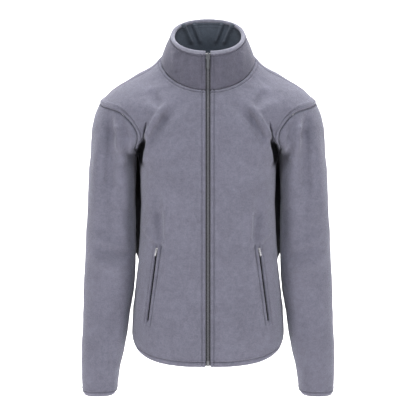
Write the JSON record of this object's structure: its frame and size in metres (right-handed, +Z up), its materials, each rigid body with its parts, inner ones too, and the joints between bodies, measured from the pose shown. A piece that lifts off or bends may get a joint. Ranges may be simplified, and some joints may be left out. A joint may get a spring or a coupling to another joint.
{
  "type": "fleece zip jacket",
  "caption": "Hollow worn-form fleece jacket with a full front zip, stand collar, set-in long sleeves and slanted zip pockets.",
  "frame": {"origin": "inside the neck, in the middle plane, on the level of the inner ends of the shoulder seams", "axes": "+Z up, -Y to the front with the zip, +X to the wearer's left"},
  "size_m": [0.575, 0.23, 0.8421],
  "materials": {
    "fleece": "brushed microfleece",
    "collar_inside": "smooth knit side",
    "tape": "woven",
    "coil": "satin",
    "metal": "satin"
  },
  "bodies": {
    "garment": {"front_left": "fleece", "front_right": "fleece", "back": "fleece", "sleeve_left": "fleece", "sleeve_right": "fleece", "collar_outer": "fleece", "collar_inner": "collar_inside", "zip_tape_left": "tape", "zip_tape_right": "tape", "zip_box": "metal", "zip_chain": "coil", "zip_slider": "metal", "pocket_tape_left": "tape", "pocket_tape_right": "tape", "pocket_chain_left": "coil", "pocket_chain_right": "coil", "pocket_slider_left": "metal", "pocket_slider_right": "metal"},
    "front_pull": {"zip_pull": "metal"},
    "left_pull": {"pocket_pull_left": "metal"},
    "right_pull": {"pocket_pull_right": "metal"}
  },
  "joints": [
    {"name": "front_pull_swing", "type": "hinge", "parent": "garment", "child": "front_pull", "pos_m": [0, -0.06899, 0.00548], "axis": [-1, 0, 0], "range_deg": [0, 150]},
    {"name": "left_pull_swing", "type": "hinge", "parent": "garment", "child": "left_pull", "pos_m": [0.1123, -0.08949, -0.41342], "axis": [-0.8521, -0.5034, -0.1433], "range_deg": [0, 150]},
    {"name": "right_pull_swing", "type": "hinge", "parent": "garment", "child": "right_pull", "pos_m": [-0.1123, -0.08949, -0.41342], "axis": [-0.8521, 0.5034, 0.1433], "range_deg": [0, 150]}
  ]
}
